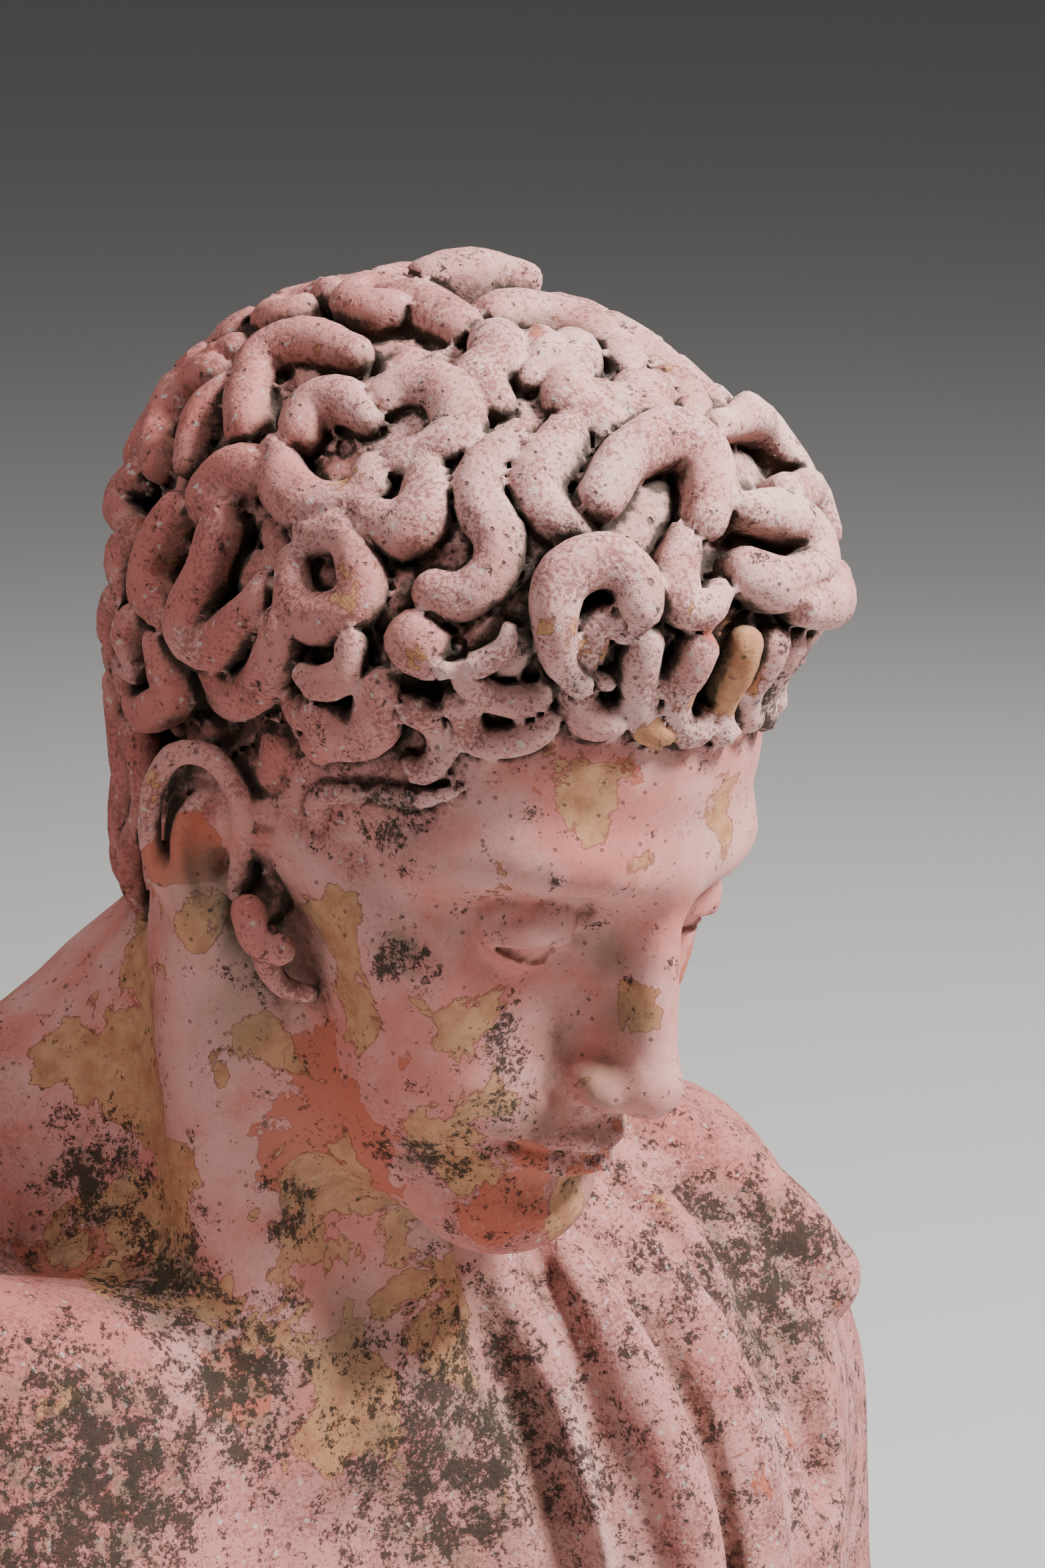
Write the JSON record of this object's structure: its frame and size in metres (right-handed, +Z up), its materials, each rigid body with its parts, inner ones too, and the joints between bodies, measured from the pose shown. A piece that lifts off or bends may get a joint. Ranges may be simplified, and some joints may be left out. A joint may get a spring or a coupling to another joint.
{
  "type": "male bust",
  "caption": "Life-size stone bust of a curly-haired man with bowed head and a cloak over the left shoulder, standing on a flat underside.",
  "frame": {"origin": "on the flat underside, below the middle of the trunk", "axes": "+Z up, the chest faces -Y, +X towards the statue's left shoulder"},
  "size_m": [0.4912, 0.3205, 0.5695],
  "materials": {
    "stone": "matt weathered pink cast stone with lichen and dirt"
  },
  "bodies": {
    "root": {"bust": "stone"}
  },
  "joints": []
}
